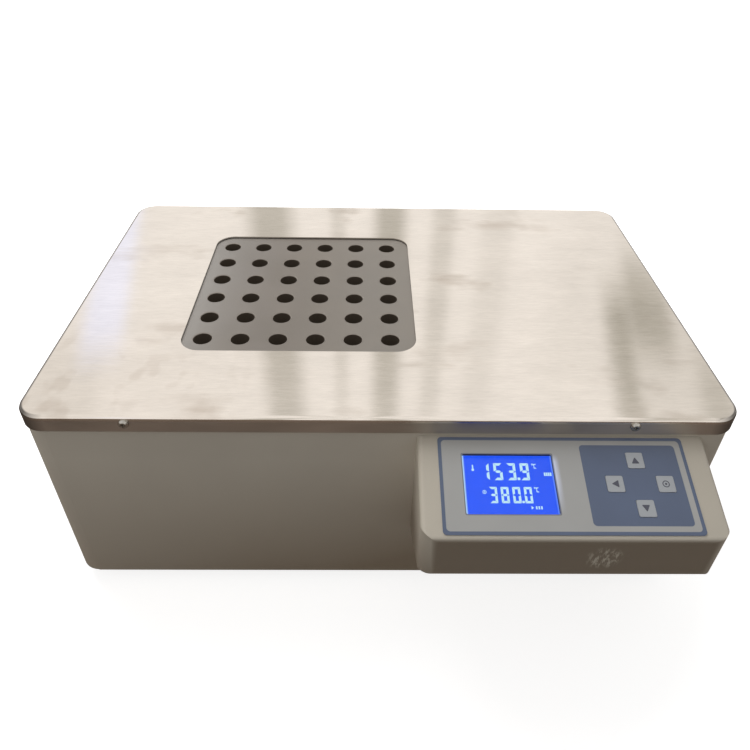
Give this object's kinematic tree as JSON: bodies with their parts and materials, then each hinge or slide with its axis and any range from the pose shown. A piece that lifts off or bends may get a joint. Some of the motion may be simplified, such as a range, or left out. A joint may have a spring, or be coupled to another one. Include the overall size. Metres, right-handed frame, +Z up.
{
  "type": "block digester",
  "caption": "Bench-top heated block with a grid of tube wells under a brushed steel cover, and a wedge-shaped control box with a display and keys standing out of the front of its case.",
  "frame": {"origin": "middle of the whole part's footprint on the bench plane, with the control box and the rear fittings in it", "axes": "+Z up, +X to the operator's right, -Y towards the operator, who faces the control box"},
  "size_m": [0.558, 0.445, 0.21],
  "materials": {
    "cover_steel": "satin, grain along the width",
    "screw_steel": "bright zinc",
    "case_paint": "fine textured powder coat",
    "zinc_sheet": "zinc plated",
    "foot_rubber": "matt",
    "block_alloy": "matt, blasted and anodised",
    "heater_alloy": "milled",
    "heater_sheath": "drawn tube",
    "dark_steel": "black oxide",
    "steatite": "unglazed",
    "thermostat_phenolic": "moulded",
    "mineral_fibre": "board",
    "box_plastic": "fine spark texture",
    "overlay_film": "satin film",
    "window_clear": "clear acrylic",
    "lcd_face": "backlit",
    "bezel_tin": "folded tin",
    "board_green": "solder resist",
    "key_cap": "satin",
    "cable_grey": "pvc",
    "transformer_wrap": "tape and varnish",
    "component_black": "moulded",
    "relay_white": "moulded",
    "sink_alloy": "extruded",
    "nylon_white": "moulded",
    "fan_black": "moulded",
    "guard_chrome": "plated",
    "inlet_black": "moulded",
    "pin_brass": "tinned",
    "fuse_glass": "glass and caps",
    "rocker_red": "moulded"
  },
  "bodies": {
    "housing": {"top_cover": "cover_steel", "cover_screws": "screw_steel", "case_wrap": "case_paint", "rear_panel": "case_paint", "rear_panel_screws": "screw_steel", "base_plate": "zinc_sheet", "base_screws": "screw_steel", "feet": "foot_rubber", "foot_screws": "screw_steel", "heating_block": "block_alloy", "heater_plate": "heater_alloy", "block_bolts": "dark_steel", "cartridge_heaters": "heater_sheath", "heater_terminals": "steatite", "temperature_probe": "heater_sheath", "limit_thermostat": "thermostat_phenolic", "block_posts": "steatite", "insulation_base": "mineral_fibre", "insulation_walls": "mineral_fibre", "insulation_liner": "zinc_sheet", "liner_spacers": "screw_steel", "heat_shield": "zinc_sheet", "control_box": "box_plastic", "control_box_screws": "screw_steel", "keypad_overlay": "overlay_film", "display_window": "window_clear", "lcd_module": "lcd_face", "lcd_bezel": "bezel_tin", "display_board": "board_green", "display_board_screws": "screw_steel", "tact_switches": "component_black", "ribbon_cable": "cable_grey", "power_board": "board_green", "board_standoffs": "nylon_white", "transformer": "transformer_wrap", "board_parts": "component_black", "solid_state_relay": "relay_white", "relay_heat_sink": "sink_alloy", "terminal_block": "nylon_white", "fan_frame": "fan_black", "fan_guard": "guard_chrome", "fan_screws": "screw_steel", "inlet_body": "inlet_black", "inlet_pins": "pin_brass", "inlet_screws": "screw_steel"},
    "up_key": {"key_up": "key_cap"},
    "down_key": {"key_down": "key_cap"},
    "left_key": {"key_left": "key_cap"},
    "set_key": {"key_set": "key_cap"},
    "power_rocker": {"rocker": "rocker_red"},
    "fuse_carrier": {"fuse_drawer": "inlet_black", "fuses": "fuse_glass"},
    "fan_wheel": {"fan_rotor": "fan_black"}
  },
  "joints": [
    {"name": "up_key_press", "type": "slide", "parent": "housing", "child": "up_key", "axis": [0, 0.309, -0.9511], "range_m": [0, 0.0005], "stiffness_N_per_m": 500},
    {"name": "down_key_press", "type": "slide", "parent": "housing", "child": "down_key", "axis": [0, 0.309, -0.9511], "range_m": [0, 0.0005], "stiffness_N_per_m": 500},
    {"name": "left_key_press", "type": "slide", "parent": "housing", "child": "left_key", "axis": [0, 0.309, -0.9511], "range_m": [0, 0.0005], "stiffness_N_per_m": 500},
    {"name": "set_key_press", "type": "slide", "parent": "housing", "child": "set_key", "axis": [0, 0.309, -0.9511], "range_m": [0, 0.0005], "stiffness_N_per_m": 500},
    {"name": "rocker_pivot", "type": "hinge", "parent": "housing", "child": "power_rocker", "pos_m": [0.212, 0.21635, 0.1275], "axis": [1, 0, 0], "range_deg": [-20, 0]},
    {"name": "fuse_drawer_slide", "type": "slide", "parent": "housing", "child": "fuse_carrier", "axis": [0, 1, 0], "range_m": [0, 0.018]},
    {"name": "fan_spin", "type": "hinge", "parent": "housing", "child": "fan_wheel", "pos_m": [0.14, 0.20415, 0.115], "axis": [0, 1, 0], "continuous": true}
  ]
}
